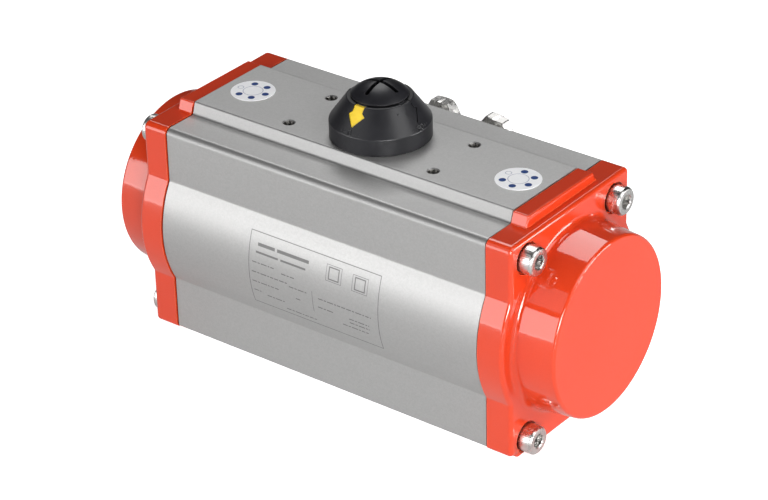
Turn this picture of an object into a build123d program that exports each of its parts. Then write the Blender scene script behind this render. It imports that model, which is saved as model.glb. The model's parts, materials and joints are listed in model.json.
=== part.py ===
from build123d import *
import os
from math import cos, sin, tan, acos, atan2, pi, radians, degrees, sqrt

# Rack-and-pinion rotary pneumatic actuator, quarter turn, spring return.
# Millimetres.  +Z up, along the output shaft.  +X along the cylinder bore.
# -Y is the plain front side, +Y the side with the air ports and travel stops.
# Origin: centre of the output shaft on the bottom valve-mounting face.

# ---------------------------------------------------------------- dimensions
BODY_L = 176.0          # extruded body, end to end
BORE_Z = 54.5           # height of the cylinder axis
BORE_R = 44.0           # cylinder bore 88
BULGE_R = 50.0          # outside radius of the rounded sides
SIDE_Y = 43.3           # half width over the flat sides
PAD_Y = 37.4            # half width of the bottom mounting pad
PAD_H = 2.9             # height of the pad below the lower outer corners
SHELF_Z = 105.6         # height of the two side shelves
BACK_RISE = 1.4         # the shelf on the stop-screw side stands a little higher
STEP_Y0 = 25.2          # foot of the step up to the top plateau
STEP_Y1 = 23.3          # edge of the top plateau
TOP_Z = 111.5           # top plateau
LAND_Y = 50.8           # flat air-port land on the +Y side
LAND_H = 45.0           # height of that land

GASKET_T = 0.7          # flat gasket under each end cap
CAP_T = 13.0            # end-cap flange thickness
LUG_T = 8.0             # thickness of the cap's raised top lug
CAP_PROUD = 0.6         # flange stands this much outside the body profile
LUG_Z = 111.1           # top of the lug
BOSS_R0 = 43.5          # boss radius at the flange
BOSS_R1 = 41.4          # boss radius at its end
BOSS_L = 20.2           # boss length beyond the flange
CAV_R = 39.2            # inside radius of the cap
CAV_X = 116.0           # inside face of the cap's end wall

CS_Y = 32.5             # cap screws: +-Y
CS_ZT = 96.7            # upper pair
CS_ZB = 8.5             # lower pair
CS_R = 4.0              # M8
CS_HEAD_R = 6.5
CS_HEAD_H = 8.0
CS_CB_R = 7.4           # counterbore radius
CS_CB_D = 1.6           # counterbore depth
CS_LEN = 30.0

ACC_X, ACC_Y = 40.0, 15.0   # top accessory pattern 80 x 30, M5
M5_R = 2.5
F05_PCD, F05_R = 50.0, 3.0  # M6
F07_PCD, F07_R = 70.0, 4.0  # M8

PORT_X = 12.0           # air ports at +-PORT_X, 24 apart
PORT_R = 6.58           # G1/4
PORT_D = 6.0
SOL_Z = 16.0            # solenoid screws at +-16 from the ports' height

MOD = 2.0               # gear module
TEETH = 16
PITCH_R = MOD * TEETH / 2
TRAVEL = PITCH_R * pi / 2   # piston stroke for a quarter turn
BACKLASH = 0.14

HEAD_X0, HEAD_X1 = 34.0, 56.0   # piston head, closed position
LEG_END = -32.0                 # free end of the rack leg
HEAD_R = 43.7
LEG_R = 43.2
LEG_DZ = 24.5

CAM_Z0, CAM_Z1 = 84.0, 93.0
CAM_HUB_R, CAM_R = 16.0, 20.0
CAM_FACE = 12.0                 # contact faces lie 12 from the shaft axis
OCT_AF = 24.0
STOP_X, STOP_Z = 15.0, 89.4     # travel-stop screws
STOP_TIP_Y = CAM_FACE + 0.06
STOP_HEAD_Y = 62.0
STOP_R = 4.95
STOP_HOLE_R = 5.02

SH_BOT_R = 18.5         # lower journal
SH_TOP_R = 11.8         # upper journal
SH_BOT_Z = 0.6
SH_END_Z = 130.5
SQ = 17.0               # star drive socket across flats
SQ_DEPTH = 19.4

IND_Z0 = 111.75         # indicator housing
IND_R0, IND_R1 = 22.9, 14.8
IND_Z1, IND_Z2 = 119.6, 130.8
DOME_R, DOME_TOP = 12.9, 137.2

SPR_PCR = 26.0          # spring pitch radius
SPR_N = 6
SPR_R, SPR_RI = 9.5, 7.1
SEAT_R = 11.3

X88 = BODY_L / 2


def cyl(r, p0, p1):
    """Cylinder of radius r from point p0 to point p1."""
    a, b = Vector(*p0), Vector(*p1)
    d = b - a
    return Solid.make_cylinder(r, d.length, Plane(origin=a, z_dir=d))


def cone(r0, r1, p0, p1):
    a, b = Vector(*p0), Vector(*p1)
    d = b - a
    return Solid.make_cone(r0, r1, d.length, Plane(origin=a, z_dir=d))


def tube(r0, r1, p0, p1):
    return cyl(r1, p0, p1) - cyl(r0, p0, p1)


def box(x0, x1, y0, y1, z0, z1):
    return Pos((x0 + x1) / 2, (y0 + y1) / 2, (z0 + z1) / 2) * Box(x1 - x0, y1 - y0, z1 - z0)


def mirx(s):
    return s.mirror(Plane.YZ)


def one(s):
    """Largest single solid of a shape."""
    return max(s.solids(), key=lambda q: q.volume)


def group(items):
    out = []
    for s in items:
        out += list(s.solids())
    return Compound(children=out)


def profile(grow=0.0, bulge=None, bottom=0.0, shelf=None, top=None, corner=3.0, soft=2.5):
    """Outside profile of the body in the YZ plane, grown sideways by grow."""
    R = bulge if bulge else BULGE_R + grow
    w = SIDE_Y + grow
    sh = SHELF_Z if shelf is None else shelf
    bk = sh + BACK_RISE
    dz = sqrt(R * R - w * w)
    zl, zh = BORE_Z - dz, BORE_Z + dz
    p0, p1 = PAD_Y + grow, PAD_Y + 1.6 + grow
    pts = [(-p0, bottom), (p0, bottom), (p1, PAD_H), (w, PAD_H), (w, zl)]
    edges = [Line(pts[i], pts[i + 1]) for i in range(4)]
    edges.append(ThreePointArc((w, zl), (R, BORE_Z), (w, zh)))
    up = [(w, zh), (w, bk)]
    if top is None:
        up += [(-w, sh)]
    else:
        up += [(STEP_Y0 + grow, bk), (STEP_Y1 + grow, top), (-STEP_Y1 - grow, top), (-STEP_Y0 - grow, sh), (-w, sh)]
    up.append((-w, zh))
    edges += [Line(up[i], up[i + 1]) for i in range(len(up) - 1)]
    edges.append(ThreePointArc((-w, zh), (-R, BORE_Z), (-w, zl)))
    dn = [(-w, zl), (-w, PAD_H), (-p1, PAD_H), (-p0, bottom)]
    edges += [Line(dn[i], dn[i + 1]) for i in range(3)]
    f = Face(Wire(edges))

    def near(ps):
        return [v for v in f.vertices() if any(abs(v.X - a) < 0.01 and abs(v.Y - b) < 0.01 for a, b in ps)]

    def both(a, b):
        return [(a, b), (-a, b)]

    sets = [([(-w, sh)], corner), ([(w, bk)], 0.4 * corner + 1.0 * (corner > 3.2)), (both(w, PAD_H), 2.0), (both(w, zl) + both(w, zh), soft), (both(p1, PAD_H), 0.8)]
    if top is not None:
        sets += [([(-STEP_Y0 - grow, sh), (STEP_Y0 + grow, bk)], 1.5), (both(STEP_Y1 + grow, top), 0.9)]
    for ps, r in sets:
        f = f.fillet_2d(r, near(ps))
    return f


def prism_x(face, x0, x1):
    """Sweep a face drawn with (Y, Z) as its coordinates from x0 to x1."""
    pl = Plane(origin=(x0, 0, 0), x_dir=(0, 1, 0), z_dir=(1, 0, 0))
    return Solid.extrude(pl.from_local_coords(face), Vector(x1 - x0, 0, 0))


def screw_spots():
    return [(sy * CS_Y, z) for sy in (1, -1) for z in (CS_ZT, CS_ZB)]


# ---------------------------------------------------------------- body
def make_body():
    b = prism_x(profile(top=TOP_Z), -X88, X88)
    # flat land for the air connections, full length of the extrusion
    land = box(-X88, X88, 40.0, LAND_Y, BORE_Z - LAND_H / 2, BORE_Z + LAND_H / 2)
    land = chamfer(land.edges().filter_by(Axis.X).group_by(Axis.Y)[-1], 1.0)
    b = b + land
    cuts = [cyl(BORE_R, (-X88 - 1, 0, BORE_Z), (X88 + 1, 0, BORE_Z))]
    # bore mouth lead-in chamfers
    for s in (1, -1):
        cuts.append(cone(BORE_R + 0.01, BORE_R + 1.0, (s * (X88 - 1.0), 0, BORE_Z), (s * (X88 + 0.001), 0, BORE_Z)))
    # cap screw threads
    for s in (1, -1):
        for y, z in screw_spots():
            cuts.append(cyl(CS_R, (s * (X88 + 1), y, z), (s * (X88 - 21), y, z)))
    # shaft openings: lower and upper
    cuts += [cyl(18.6, (0, 0, -1), (0, 0, 6)), cyl(20.3, (0, 0, 4.6), (0, 0, 20)),
             cone(19.4, 18.6, (0, 0, -0.001), (0, 0, 0.8)),
             cyl(14.8, (0, 0, 90), (0, 0, 104.9)), cyl(12.0, (0, 0, 104), (0, 0, 110)),
             cyl(17.3, (0, 0, 109.3), (0, 0, TOP_Z + 1))]
    # top accessory pattern
    for x in (ACC_X, -ACC_X):
        for y in (ACC_Y, -ACC_Y):
            cuts.append(cyl(M5_R, (x, y, TOP_Z + 1), (x, y, TOP_Z - 10)))
            cuts.append(cone(M5_R + 0.45, M5_R, (x, y, TOP_Z + 0.001), (x, y, TOP_Z - 0.45)))
    # bottom valve patterns
    for pcd, r, d in ((F05_PCD, F05_R, 9.0), (F07_PCD, F07_R, 12.5)):
        for k in range(4):
            a = radians(45 + 90 * k)
            x, y = pcd / 2 * cos(a), pcd / 2 * sin(a)
            cuts.append(cyl(r, (x, y, -1), (x, y, d)))
            cuts.append(cone(r + 0.5, r, (x, y, -0.001), (x, y, 0.5)))
    # air ports and solenoid-valve screws
    for s in (1, -1):
        x = s * PORT_X
        cuts.append(cyl(PORT_R, (x, LAND_Y + 1, BORE_Z), (x, LAND_Y - PORT_D, BORE_Z)))
        cuts.append(cone(PORT_R + 0.7, PORT_R, (x, LAND_Y + 0.001, BORE_Z), (x, LAND_Y - 0.7, BORE_Z)))
        for t in (1, -1):
            z = BORE_Z + t * SOL_Z
            cuts.append(cyl(M5_R, (x, LAND_Y + 1, z), (x, LAND_Y - 7.5, z)))
            cuts.append(cone(M5_R + 0.4, M5_R, (x, LAND_Y + 0.001, z), (x, LAND_Y - 0.4, z)))
    # one port opens into the bore between the pistons
    cuts.append(cyl(2.5, (PORT_X, LAND_Y - PORT_D + 1, BORE_Z), (PORT_X, 40, BORE_Z)))
    # the other reaches a long gallery that feeds both outer chambers
    cuts.append(cyl(1.5, (-PORT_X + 4.4, 46.9, BORE_Z + 1.0), (-PORT_X + 4.4, 43.0, BORE_Z + 19.0)))
    cuts.append(cyl(1.5, (-X88 - 1, 43.0, BORE_Z + 19.0), (X88 + 1, 43.0, BORE_Z + 19.0)))
    # travel-stop screw threads with an O-ring recess
    for s in (1, -1):
        cuts.append(cyl(STOP_HOLE_R, (s * STOP_X, 8, STOP_Z), (s * STOP_X, SIDE_Y + 1, STOP_Z)))
        cuts.append(cyl(7.2, (s * STOP_X, SIDE_Y - 2.2, STOP_Z), (s * STOP_X, SIDE_Y + 1, STOP_Z)))
    for c in cuts:
        b = b - c
    return one(b)


# ---------------------------------------------------------------- end cap, +X
def make_cap():
    x0 = X88 + GASKET_T
    x1 = x0 + CAP_T
    f_main = profile(grow=CAP_PROUD, bottom=0.3, shelf=SHELF_Z + 0.2, corner=3.4)
    main = prism_x(f_main, x0, x1)
    outer = main.edges().filter_by(lambda e: abs(e.center().X - x1) < 0.01)
    main = main.fillet(2.0, outer)
    f_lug = profile(grow=CAP_PROUD, bottom=0.3, shelf=SHELF_Z + 0.2, top=LUG_Z, corner=3.4)
    lug = prism_x(f_lug, x0, x0 + LUG_T) & box(0, 200, -26.6, 26.6, SHELF_Z - 6, 130)
    lug_top = lug.edges().filter_by(lambda e: abs(e.center().X - (x0 + LUG_T)) < 0.01 and e.center().Z > SHELF_Z + 0.5)
    try:
        lug = lug.solids()[0].fillet(0.9, lug_top)
    except Exception as ex:
        print("lug fillet skipped", ex)
    xb = x1 + BOSS_L
    boss = cone(BOSS_R0, BOSS_R1, (x1 - 1, 0, BORE_Z), (xb, 0, BORE_Z))
    c = main + boss
    rim = c.edges().filter_by(GeomType.CIRCLE).filter_by(lambda e: abs(e.center().X - xb) < 0.01)
    c = one(c).fillet(1.6, rim)
    foot = c.edges().filter_by(GeomType.CIRCLE).filter_by(lambda e: abs(e.center().X - x1) < 0.01 and e.radius > BOSS_R0 - 1.0 and e.length > 200)
    try:
        c = one(c).fillet(2.8, foot)
    except Exception as ex:
        print("boss foot fillet skipped", ex)
    c = one(c) + lug
    cav = cyl(CAV_R, (x0 - 1, 0, BORE_Z), (CAV_X, 0, BORE_Z))
    cav = cav.fillet(2.0, cav.edges().filter_by(lambda e: abs(e.center().X - CAV_X) < 0.01))
    c = one(c) - cav
    # passage from the gallery mouth into the cap
    c = c - box(x0 - 1, x0 + 3.0, 34.0, 44.6, BORE_Z + 17.5, BORE_Z + 20.5)
    for y, z in screw_spots():
        c = c - cyl(CS_R + 0.5, (x0 - 1, y, z), (x1 + 1, y, z))
        c = c - cyl(CS_CB_R, (x1 - CS_CB_D, y, z), (x1 + 10, y, z))
    return one(c)


def make_gasket():
    f = profile(grow=-0.5, bottom=0.9, shelf=SHELF_Z - 0.5, corner=2.5)
    g = prism_x(f, X88, X88 + GASKET_T)
    g = g - cyl(BORE_R + 1.0, (X88 - 1, 0, BORE_Z), (X88 + 2, 0, BORE_Z))
    g = g - cyl(1.9, (X88 - 1, 43.0, BORE_Z + 19.0), (X88 + 2, 43.0, BORE_Z + 19.0))
    for y, z in screw_spots():
        g = g - cyl(CS_R + 0.6, (X88 - 1, y, z), (X88 + 2, y, z))
    return one(g)


def hexagon(af, p0, p1, turn=0.0):
    a, b = Vector(*p0), Vector(*p1)
    d = b - a
    pl = Plane(origin=a, x_dir=(1, 0, 0) if abs(d.Y) > 0.5 * d.length else (0, 1, 0), z_dir=d)
    f = Face(Wire.make_polygon([Vector(af / sqrt(3) * cos(radians(60 * k + turn)), af / sqrt(3) * sin(radians(60 * k + turn)), 0)
                                for k in range(6)], close=True))
    return Solid.extrude(pl.from_local_coords(f), d)


def make_cap_screws():
    out = []
    xh = X88 + GASKET_T + CAP_T - CS_CB_D
    for i, (y, z) in enumerate(screw_spots()):
        head = cyl(CS_HEAD_R, (xh, y, z), (xh + CS_HEAD_H, y, z))
        top = head.edges().filter_by(lambda e: abs(e.center().X - xh - CS_HEAD_H) < 0.01)
        head = head.chamfer(0.7, None, top)
        s = head + cyl(CS_R - 0.02, (xh + 0.5, y, z), (xh - CS_LEN, y, z))
        s = s - hexagon(6.0, (xh + CS_HEAD_H + 1, y, z), (xh + CS_HEAD_H - 4.2, y, z), turn=10 + 25 * i)
        out.append(one(s))
    return group(out)


# ---------------------------------------------------------------- gear and rack
def pinion_face():
    rb = PITCH_R * cos(radians(20))
    half = (pi * MOD / 2 - BACKLASH / 2) / 2 / PITCH_R
    inv20 = tan(radians(20)) - radians(20)
    ra, rf = PITCH_R + MOD, PITCH_R - 1.25 * MOD
    pts = []
    for k in range(TEETH):
        c = 2 * pi * k / TEETH
        flank = [(rf, half + inv20)]
        for i in range(7):
            r = rb + (ra - rb) * (i / 6) ** 1.5
            al = acos(rb / r)
            flank.append((r, half + inv20 - (tan(al) - al)))
        for r, a in flank:
            pts.append((r * cos(c - a), r * sin(c - a)))
        for r, a in reversed(flank):
            pts.append((r * cos(c + a), r * sin(c + a)))
    return Face(Wire.make_polygon([Vector(x, y, 0) for x, y in pts], close=True))


def rack_teeth(x_lo, x_hi, z0, z1):
    """Teeth on the +Y side of the shaft, pointing at it; a space is centred on x = 0."""
    p = pi * MOD
    add, ded = 0.8 * MOD, 1.25 * MOD
    yt, yr = PITCH_R - add, PITCH_R + ded
    w = (pi * MOD / 2 - BACKLASH / 2) / 2
    t20 = tan(radians(20))
    out = []
    k = -12
    while k < 13:
        xc = (k + 0.5) * p
        if xc - w - ded * t20 > x_lo and xc + w + ded * t20 < x_hi:
            ht, hr = w - add * t20, w + ded * t20
            f = Face(Wire.make_polygon([Vector(xc - hr, yr + 0.2, z0), Vector(xc - hr, yr, z0), Vector(xc - ht, yt, z0),
                                        Vector(xc + ht, yt, z0), Vector(xc + hr, yr, z0), Vector(xc + hr, yr + 0.2, z0)], close=True))
            out.append(Solid.extrude(f, Vector(0, 0, z1 - z0)))
        k += 1
    return out


# ---------------------------------------------------------------- output shaft
def octagon(af, z0, z1):
    f = Face(Wire.make_polygon([Vector(af / 2 / cos(pi / 8) * cos(pi / 8 + k * pi / 4), af / 2 / cos(pi / 8) * sin(pi / 8 + k * pi / 4), z0)
                                for k in range(8)], close=True))
    return Solid.extrude(f, Vector(0, 0, z1 - z0))


def make_shaft():
    prof = [(0, SH_BOT_Z), (SH_BOT_R - 0.6, SH_BOT_Z), (SH_BOT_R, SH_BOT_Z + 0.6), (SH_BOT_R, 1.4), (16.7, 1.4), (16.7, 4.0),
            (SH_BOT_R, 4.0), (SH_BOT_R, 13.0), (15.5, 16.0), (15.5, 37.0), (13.0, 37.0), (13.0, 72.0),
            (15.6, 72.0), (15.6, CAM_Z0 - 0.05), (11.0, CAM_Z0 - 0.05), (11.0, CAM_Z1 + 1.0), (SH_TOP_R, CAM_Z1 + 1.0),
            (SH_TOP_R, 105.9), (9.9, 105.9), (9.9, 108.5), (SH_TOP_R, 108.5), (SH_TOP_R, 112.98), (10.85, 112.98), (10.85, 114.46),
            (SH_TOP_R, 114.46), (SH_TOP_R, 115.4), (SH_TOP_R - 0.6, 116.0), (7.5, 116.0), (7.5, SH_END_Z - 0.5), (7.0, SH_END_Z), (0, SH_END_Z)]
    f = Face(Wire.make_polygon([Vector(r, 0, z) for r, z in prof], close=True))
    s = Solid.revolve(f, 360, Axis.Z)
    s = s + Solid.extrude(Pos(0, 0, 37.0) * pinion_face(), Vector(0, 0, 35.0))
    s = s + octagon(OCT_AF - 0.1, CAM_Z0 - 0.1, CAM_Z1 + 1.0)
    # driven end: square and square turned by 45 degrees make a star
    for turn in (0, 45):
        s = s - Rot(0, 0, turn) * Pos(0, 0, SH_BOT_Z - 1 + (SQ_DEPTH + 1) / 2) * Box(SQ, SQ, SQ_DEPTH + 1)
    s = s - cone(12.6, 11.4, (0, 0, SH_BOT_Z - 0.001), (0, 0, SH_BOT_Z + 1.2))
    # top end: two flats, tapped hole for the indicator screw
    for sg in (1, -1):
        s = s - box(-10, 10, min(sg * 5.5, sg * 12), max(sg * 5.5, sg * 12), 117.0, 140.0)
    s = s - cyl(3.0, (0, 0, SH_END_Z + 1), (0, 0, SH_END_Z - 14))
    return one(s)


def make_cam():
    c = cyl(CAM_HUB_R, (0, 0, CAM_Z0), (0, 0, CAM_Z1))

    def sector(a0, a1):
        n = 8
        P = [Vector(0, 0, CAM_Z0)]
        for i in range(n + 1):
            a = radians(a0 + (a1 - a0) * i / n)
            P.append(Vector(30 * cos(a), 30 * sin(a), CAM_Z0))
        return Solid.extrude(Face(Wire.make_polygon(P, close=True)), Vector(0, 0, CAM_Z1 - CAM_Z0))

    disc = cyl(CAM_R, (0, 0, CAM_Z0), (0, 0, CAM_Z1))
    lug2 = disc & sector(125.0, 188.0) & box(-40, 40, -40, CAM_FACE, 0, 200)
    lug1 = disc & sector(-98.0, -35.0) & box(-40, CAM_FACE, -40, 40, 0, 200)
    c = c + lug1 + lug2
    c = c - octagon(OCT_AF, CAM_Z0 - 1, CAM_Z1 + 1)
    return one(c)


def torus(R, r, at, axis):
    pl = Plane(origin=at, z_dir=axis)
    return Solid.make_torus(R, r, pl)


def make_snap_ring():
    s = tube(10.9, 14.0, (0, 0, 113.0), (0, 0, 114.4))
    ears = []
    for sg in (1, -1):
        a = radians(-90 + sg * 17)
        s = s + cyl(2.1, (14.0 * cos(a), 14.0 * sin(a), 113.0), (14.0 * cos(a), 14.0 * sin(a), 114.4))
        ears.append((14.0 * cos(a), 14.0 * sin(a)))
    s = s - box(-2.6, 2.6, -30, -5, 112, 116)
    s = s - cyl(10.9, (0, 0, 112), (0, 0, 116))
    for x, y in ears:
        s = s - cyl(0.9, (x, y, 112), (x, y, 116))
    return one(s)


# ---------------------------------------------------------------- position indicator
def slope_plane(az, lift=0.0):
    """Plane lying on the cone: x across, y up the slope, z outwards; origin at the foot of the cone."""
    dr, dz = IND_R1 - IND_R0, IND_Z2 - IND_Z1
    L = sqrt(dr * dr + dz * dz)
    u = Vector(cos(az), sin(az), 0)
    up = u * (dr / L) + Vector(0, 0, dz / L)
    across = Vector(-sin(az), cos(az), 0)
    n = across.cross(up)
    o = u * IND_R0 + Vector(0, 0, IND_Z1) + n * lift
    return Plane(origin=o, x_dir=across, z_dir=n), L


def arrow(az, shrink=0.0):
    pl, L = slope_plane(az)
    k = shrink
    pts = [(0, 3.8 + 2.0 * k), (4.4 - 1.6 * k, 9.8 - 0.3 * k), (2.7 - k, 11.2 - 1.9 * k), (3.0 - k, L + 6), (-3.0 + k, L + 6),
           (-2.7 + k, 11.2 - 1.9 * k), (-4.4 + 1.6 * k, 9.8 - 0.3 * k)]
    f = Face(Wire.make_polygon([Vector(x, y, -8) for x, y in pts], close=True))
    return Solid.extrude(pl.from_local_coords(f), pl.z_dir * 16)


def ind_cone(inset, z_lo=IND_Z1 - 2, z_hi=IND_Z2):
    """Solid bounded by the indicator cone moved inwards by inset, measured along its normal."""
    dr, dz = IND_R1 - IND_R0, IND_Z2 - IND_Z1
    L = sqrt(dr * dr + dz * dz)
    k = inset * L / dz
    r = lambda z: IND_R0 + dr * (z - IND_Z1) / dz - k
    return cone(r(z_lo), r(z_hi), (0, 0, z_lo), (0, 0, z_hi))


def make_indicator():
    prof = [(0, IND_Z0), (IND_R0, IND_Z0), (IND_R0, IND_Z1), (IND_R1, IND_Z2), (0, IND_Z2)]
    f = Face(Wire.make_polygon([Vector(r, 0, z) for r, z in prof], close=True))
    h = Solid.revolve(f, 360, Axis.Z)
    h = h.fillet(0.6, h.edges().filter_by(GeomType.CIRCLE).filter_by(lambda e: abs(e.center().Z - IND_Z1) < 0.01 or abs(e.center().Z - IND_Z2) < 0.01))
    h = h - cyl(20.4, (0, 0, IND_Z0 - 1), (0, 0, 116.6))
    h = h - (cyl(7.56, (0, 0, 110), (0, 0, SH_END_Z + 0.4)) & box(-10, 10, -5.56, 5.56, 110, 140))
    h = h - cyl(12.2, (0, 0, 110), (0, 0, 117.6))
    h = h - cyl(3.3, (0, 0, 120), (0, 0, 140))
    for k in range(4):
        az = pi / 2 * k
        h = h - (arrow(az) - ind_cone(1.6))
    return one(h)


def make_arrows(azs):
    out = []
    for az in azs:
        s = arrow(az, 0.06) & (ind_cone(0.35, z_hi=IND_Z2 - 0.3) - ind_cone(1.55, z_lo=100, z_hi=140))
        s = s & box(-40, 40, -40, 40, IND_Z1, IND_Z2 + 1)
        u = Vector(cos(az), sin(az), 0)
        out.append(max(s.solids(), key=lambda q: q.center().dot(u)))
    return group(out)


def make_indicator_screw():
    z0 = IND_Z2
    zr = z0 + 1.1
    hgt = DOME_TOP - zr
    R = (DOME_R ** 2 + hgt ** 2) / (2 * hgt)
    ball = Pos(0, 0, DOME_TOP - R) * Sphere(R)
    head = ball & cyl(DOME_R, (0, 0, zr), (0, 0, DOME_TOP + 1))
    head = head + cyl(DOME_R, (0, 0, z0 + 0.5), (0, 0, zr)) + cyl(11.9, (0, 0, z0), (0, 0, z0 + 0.6))
    head = head - box(-9.8, 9.8, -1.0, 1.0, DOME_TOP - 3.8, 150) - box(-1.0, 1.0, -9.8, 9.8, DOME_TOP - 3.8, 150)
    s = head + cyl(2.95, (0, 0, z0 + 0.5), (0, 0, 119.5))
    return one(s)


# ---------------------------------------------------------------- piston, +X side
def make_piston():
    head = cyl(HEAD_R, (HEAD_X0, 0, BORE_Z), (HEAD_X1, 0, BORE_Z))
    head = head.chamfer(0.8, None, head.edges().filter_by(lambda e: abs(e.center().X - HEAD_X1) < 0.01))
    # O-ring groove and guide-ring groove
    head = head - (cyl(HEAD_R + 1, (49.0, 0, BORE_Z), (53.0, 0, BORE_Z)) - cyl(40.4, (48, 0, BORE_Z), (54, 0, BORE_Z)))
    head = head - (cyl(HEAD_R + 1, (38.0, 0, BORE_Z), (44.0, 0, BORE_Z)) - cyl(41.8, (37, 0, BORE_Z), (45, 0, BORE_Z)))
    # lightening recess in the outer face
    head = head - cyl(12.5, (HEAD_X1 - 9, 0, BORE_Z), (HEAD_X1 + 1, 0, BORE_Z))
    # leg with the rack on the -Y side of the shaft
    y_root = PITCH_R + 1.25 * MOD
    leg = cyl(LEG_R, (LEG_END, 0, BORE_Z), (HEAD_X0 + 0.5, 0, BORE_Z)) & box(LEG_END - 1, HEAD_X0 + 1, -60, -y_root, BORE_Z - LEG_DZ, BORE_Z + LEG_DZ)
    p = head + leg
    for t in rack_teeth(LEG_END + 0.4, HEAD_X0 - 1.0, BORE_Z - 16.0, BORE_Z + 16.0):
        p = p + t.mirror(Plane.XZ)
    # pocket for the slide pad on the outside of the leg
    p = p - ((cyl(50, (-28.0, 0, BORE_Z), (12.0, 0, BORE_Z)) - cyl(40.9, (-29, 0, BORE_Z), (13, 0, BORE_Z)))
             & box(-28.0, 12.0, -60, 0, BORE_Z - 13.0, BORE_Z + 13.0))
    return one(p)


def make_back_pad():
    s = (tube(41.0, 43.9, (-27.8, 0, BORE_Z), (11.8, 0, BORE_Z))) & box(-27.8, 11.8, -60, 0, BORE_Z - 12.8, BORE_Z + 12.8)
    return one(s)


def make_guide_ring():
    s = tube(41.85, 43.95, (38.1, 0, BORE_Z), (43.9, 0, BORE_Z))
    # scarf-cut split
    s = s - Pos(41, 0, BORE_Z + 43) * Rot(0, 0, 35) * Box(1.0, 14.0, 6.0)
    return one(s)


def spring_spots():
    return [(SPR_PCR * cos(radians(30 + 360 / SPR_N * k)), BORE_Z + SPR_PCR * sin(radians(30 + 360 / SPR_N * k))) for k in range(SPR_N)]


def make_seats_inner():
    out = []
    for y, z in spring_spots():
        s = cyl(SEAT_R, (HEAD_X1, y, z), (HEAD_X1 + 2.0, y, z)) + cone(6.8, 6.0, (HEAD_X1 + 1.5, y, z), (HEAD_X1 + 10.0, y, z))
        out.append(one(s))
    return group(out)


def make_seats_outer():
    out = []
    for y, z in spring_spots():
        s = cyl(SEAT_R, (CAV_X - 2.5, y, z), (CAV_X, y, z)) + cone(6.0, 6.8, (CAV_X - 10.5, y, z), (CAV_X - 2.0, y, z))
        out.append(one(s))
    return group(out)


def make_springs():
    return group([tube(SPR_RI, SPR_R, (HEAD_X1 + 2.0, y, z), (CAV_X - 2.5, y, z)) for y, z in spring_spots()])


# ---------------------------------------------------------------- travel stops
def make_stop_screw(sx, turn):
    x = sx * STOP_X
    s = cyl(STOP_R, (x, STOP_TIP_Y + 8.0, STOP_Z), (x, STOP_HEAD_Y + 0.5, STOP_Z))
    s = s + cone(3.6, STOP_R, (x, STOP_TIP_Y + 7.0, STOP_Z), (x, STOP_TIP_Y + 8.35, STOP_Z))
    s = s + cyl(3.6, (x, STOP_TIP_Y, STOP_Z), (x, STOP_TIP_Y + 7.2, STOP_Z))
    hx = hexagon(16.0, (x, STOP_HEAD_Y, STOP_Z), (x, STOP_HEAD_Y + 6.4, STOP_Z), turn=turn)
    hx = hx & cone(9.35, 7.9, (x, STOP_HEAD_Y - 4.0, STOP_Z), (x, STOP_HEAD_Y + 6.4, STOP_Z)).fuse(cyl(9.5, (x, STOP_HEAD_Y, STOP_Z), (x, STOP_HEAD_Y + 5.4, STOP_Z)))
    s = s + hx
    return one(s)


def make_stop_nuts():
    out = []
    for sx, turn in ((1, 12.0), (-1, 41.0)):
        x = sx * STOP_X
        n = hexagon(17.0, (x, SIDE_Y + 2.0, STOP_Z), (x, SIDE_Y + 8.0, STOP_Z), turn=turn)
        keep = cone(8.6, 9.9, (x, SIDE_Y + 2.0, STOP_Z), (x, SIDE_Y + 3.0, STOP_Z)) + cyl(9.9, (x, SIDE_Y + 3.0, STOP_Z), (x, SIDE_Y + 7.0, STOP_Z)) \
            + cone(9.9, 8.6, (x, SIDE_Y + 7.0, STOP_Z), (x, SIDE_Y + 8.0, STOP_Z))
        out.append(one((n & keep) - cyl(STOP_HOLE_R, (x, 40, STOP_Z), (x, 60, STOP_Z))))
    return group(out)


def make_stop_washers():
    return group([tube(5.25, 9.0, (s * STOP_X, SIDE_Y, STOP_Z), (s * STOP_X, SIDE_Y + 2.0, STOP_Z)) for s in (1, -1)])


def make_stop_orings():
    return group([torus(6.1, 1.0, (s * STOP_X, SIDE_Y - 1.1, STOP_Z), (0, 1, 0)) for s in (1, -1)])


# ---------------------------------------------------------------- build
parts = {}
parts["body"] = make_body()
cap = make_cap()
parts["end_cap_right"] = cap
parts["end_cap_left"] = mirx(cap)
gk = make_gasket()
parts["cap_gasket_right"] = gk
parts["cap_gasket_left"] = mirx(gk)
cs = make_cap_screws()
parts["cap_screws_right"] = cs
parts["cap_screws_left"] = group([mirx(s) for s in cs.solids()])
parts["drive_shaft"] = make_shaft()
parts["stop_cam"] = make_cam()
parts["shaft_bearing_top"] = tube(11.85, 14.8, (0, 0, 98.6), (0, 0, 104.9)) & cyl(BORE_R + 20, (-40, 0, BORE_Z), (40, 0, BORE_Z))
parts["shaft_bearing_bottom"] = tube(18.55, 20.3, (0, 0, 4.6), (0, 0, 10.0))
parts["shaft_oring_top"] = torus(10.95, 1.0, (0, 0, 107.2), (0, 0, 1))
parts["shaft_oring_bottom"] = torus(17.65, 0.9, (0, 0, 2.7), (0, 0, 1))
parts["thrust_bearing"] = tube(12.0, 17.2, (0, 0, 109.3), (0, 0, 111.9))
parts["thrust_washer"] = tube(11.86, 16.8, (0, 0, 111.95), (0, 0, 112.95))
parts["snap_ring"] = make_snap_ring()
parts["indicator_housing"] = make_indicator()
parts["indicator_arrows"] = make_arrows([pi / 2, -pi / 2])
parts["indicator_blanks"] = make_arrows([0, pi])
parts["indicator_screw"] = make_indicator_screw()
pr = make_piston()
rot = Rot(0, 0, 180)
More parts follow.
